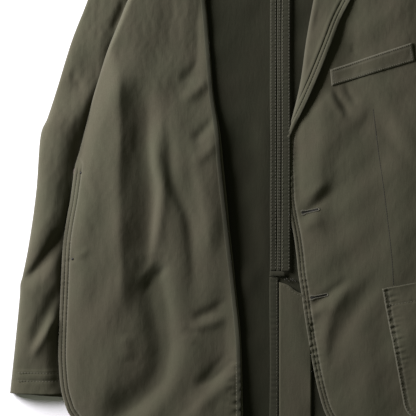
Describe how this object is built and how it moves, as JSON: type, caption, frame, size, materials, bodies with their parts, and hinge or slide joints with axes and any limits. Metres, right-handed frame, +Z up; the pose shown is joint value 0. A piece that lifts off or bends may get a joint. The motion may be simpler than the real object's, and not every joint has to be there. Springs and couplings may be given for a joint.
{
  "type": "chino blazer",
  "caption": "Unlined cotton chino blazer laid open on its back: notch lapel, centre-vented back, welt and patch pockets, one front folded back to show its facing.",
  "frame": {"origin": "centre of the laid garment's box on the surface it lies on", "axes": "+Z up from the surface, +Y from the hem towards the collar, +X towards the wearer's left side"},
  "size_m": [0.6738, 0.723, 0.0201],
  "materials": {
    "back_left": "matt cotton twill, inside face",
    "back_right": "matt cotton twill, inside face",
    "centre_back_seam": "turned and stitched cotton seam allowance",
    "vent_facing": "turned and stitched cotton seam allowance",
    "vent_underlap": "matt cotton twill, inside face",
    "front_left": "matt cotton twill, dark olive grey",
    "lapel_left": "matt cotton twill, dark olive grey",
    "breast_welt": "matt cotton twill, dark olive grey",
    "patch_pocket_left": "matt cotton twill, dark olive grey",
    "front_right": "matt cotton twill, dark olive grey",
    "facing_right": "matt cotton twill, inside face",
    "facing_binding": "turned and stitched cotton seam allowance",
    "lapel_right": "matt cotton twill, dark olive grey",
    "patch_pocket_right": "matt cotton twill, dark olive grey",
    "button_1": "dark four-hole button, satin",
    "button_2": "dark four-hole button, satin",
    "sleeve_right_upper": "matt cotton twill, dark olive grey",
    "sleeve_right_under": "matt cotton twill, dark olive grey",
    "sleeve_left_upper": "matt cotton twill, dark olive grey",
    "sleeve_left_under": "matt cotton twill, dark olive grey",
    "collar_fall": "matt cotton twill, dark olive grey",
    "collar_stand": "matt cotton twill, dark olive grey"
  },
  "bodies": {
    "root": {"back_left": "back_left", "back_right": "back_right", "centre_back_seam": "centre_back_seam", "vent_facing": "vent_facing", "vent_underlap": "vent_underlap", "front_left": "front_left", "lapel_left": "lapel_left", "breast_welt": "breast_welt", "patch_pocket_left": "patch_pocket_left", "front_right": "front_right", "facing_right": "facing_right", "facing_binding": "facing_binding", "lapel_right": "lapel_right", "patch_pocket_right": "patch_pocket_right", "button_1": "button_1", "button_2": "button_2", "sleeve_right_upper": "sleeve_right_upper", "sleeve_right_under": "sleeve_right_under", "sleeve_left_upper": "sleeve_left_upper", "sleeve_left_under": "sleeve_left_under", "collar_fall": "collar_fall", "collar_stand": "collar_stand"}
  },
  "joints": []
}
